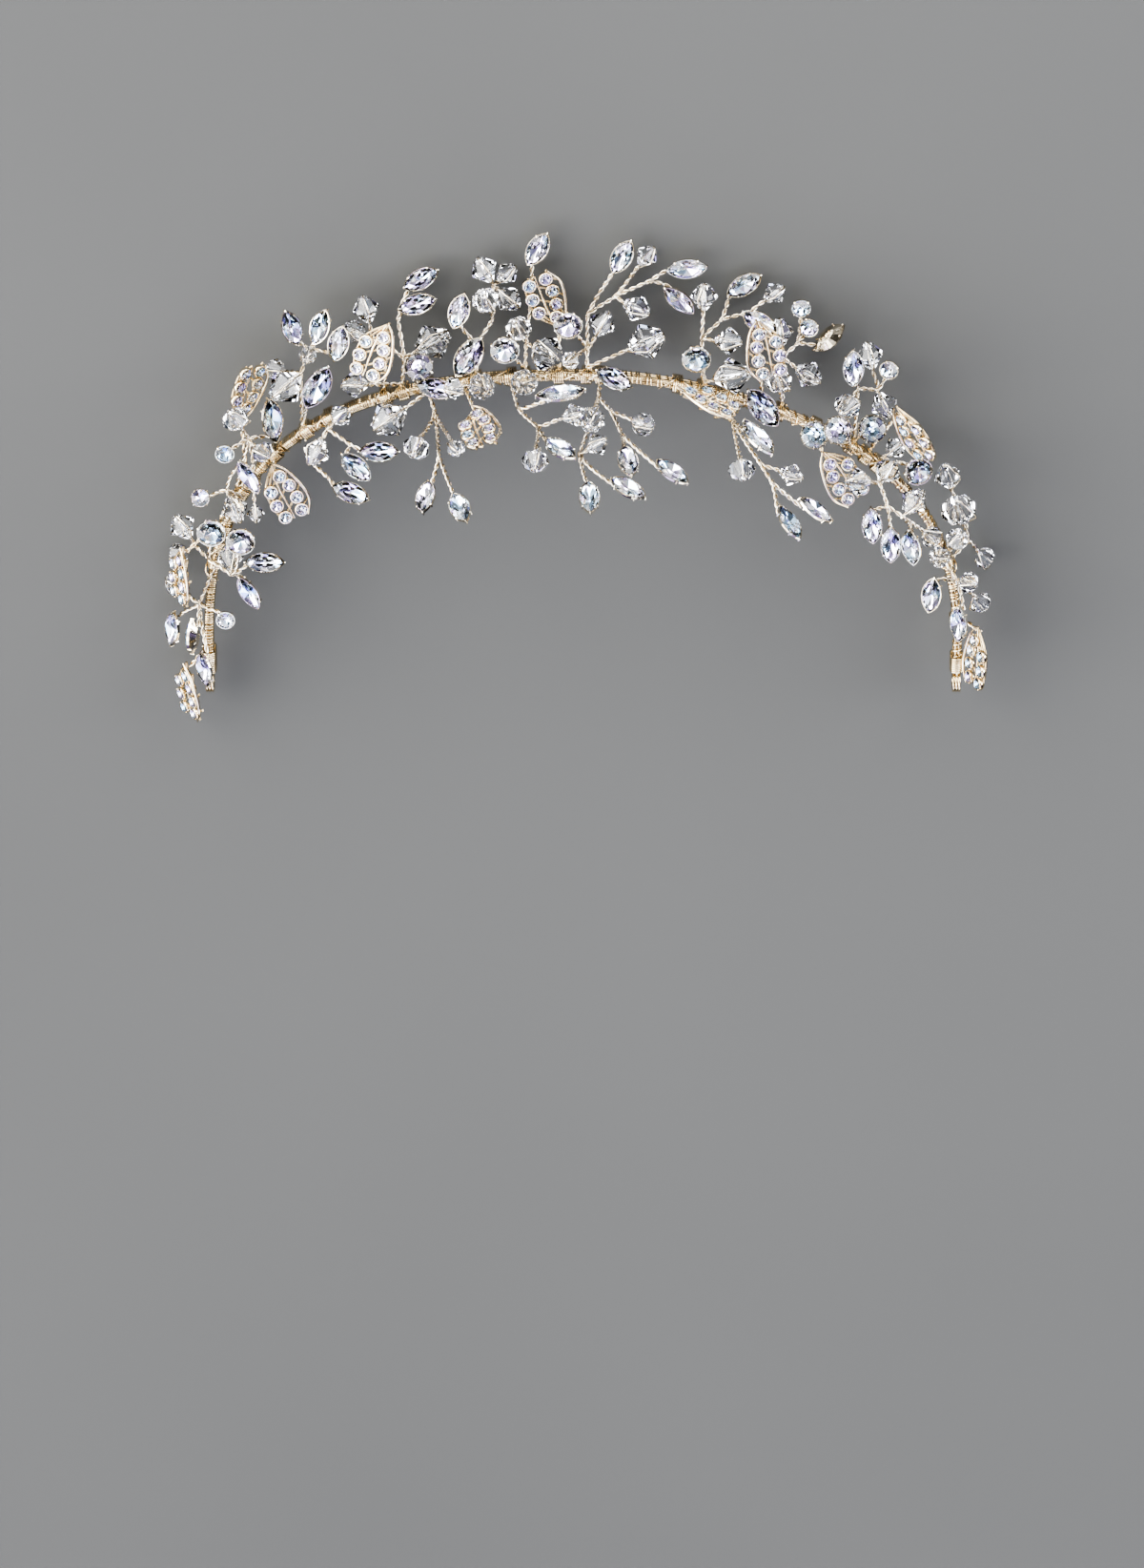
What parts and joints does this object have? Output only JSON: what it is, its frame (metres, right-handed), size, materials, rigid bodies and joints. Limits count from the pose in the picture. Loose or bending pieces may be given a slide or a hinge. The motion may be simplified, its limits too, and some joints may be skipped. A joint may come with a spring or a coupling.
{
  "type": "diadem",
  "caption": "Slim wrapped-wire diadem arch carrying wired sprays of marquise stones, round stones and bicone beads with small pave leaves.",
  "frame": {"origin": "midway between the two ends of the band, on the surface that the diadem lies on", "axes": "+X to the wearer's left across the head, +Y worn up towards the crown of the arch, +Z worn to the front; it is stored lying on its side with the arch level"},
  "size_m": [0.1776, 0.1147, 0.0538],
  "materials": {
    "band_gold": "polished wrapped wire",
    "spray_gold": "polished pale gold wire",
    "leaf_gold": "polished cast gold",
    "crystal": "cut and polished",
    "pave_crystal": "cut and polished"
  },
  "bodies": {
    "root": {"band": "band_gold", "end_eyelets": "band_gold", "spray_01_wire": "spray_gold", "spray_01_crystals": "crystal", "spray_02_wire": "spray_gold", "spray_02_crystals": "crystal", "spray_03_wire": "spray_gold", "spray_03_crystals": "crystal", "spray_04_wire": "spray_gold", "spray_04_crystals": "crystal", "spray_05_wire": "spray_gold", "spray_05_crystals": "crystal", "spray_06_wire": "spray_gold", "spray_06_crystals": "crystal", "spray_07_wire": "spray_gold", "spray_07_crystals": "crystal", "spray_08_wire": "spray_gold", "spray_08_crystals": "crystal", "spray_09_wire": "spray_gold", "spray_09_crystals": "crystal", "spray_10_wire": "spray_gold", "spray_10_crystals": "crystal", "spray_11_wire": "spray_gold", "spray_11_crystals": "crystal", "spray_12_wire": "spray_gold", "spray_12_crystals": "crystal", "spray_13_wire": "spray_gold", "spray_13_crystals": "crystal", "spray_14_wire": "spray_gold", "spray_14_crystals": "crystal", "spray_15_wire": "spray_gold", "spray_15_crystals": "crystal", "spray_16_wire": "spray_gold", "spray_16_crystals": "crystal", "spray_17_wire": "spray_gold", "spray_17_crystals": "crystal", "leaf_01": "leaf_gold", "leaf_01_stones": "pave_crystal", "leaf_02": "leaf_gold", "leaf_02_stones": "pave_crystal", "leaf_03": "leaf_gold", "leaf_03_stones": "pave_crystal", "leaf_04": "leaf_gold", "leaf_04_stones": "pave_crystal", "leaf_05": "leaf_gold", "leaf_05_stones": "pave_crystal", "leaf_06": "leaf_gold", "leaf_06_stones": "pave_crystal", "leaf_07": "leaf_gold", "leaf_07_stones": "pave_crystal", "leaf_08": "leaf_gold", "leaf_08_stones": "pave_crystal", "leaf_09": "leaf_gold", "leaf_09_stones": "pave_crystal", "leaf_10": "leaf_gold", "leaf_10_stones": "pave_crystal", "leaf_11": "leaf_gold", "leaf_11_stones": "pave_crystal", "leaf_12": "leaf_gold", "leaf_12_stones": "pave_crystal"}
  },
  "joints": []
}
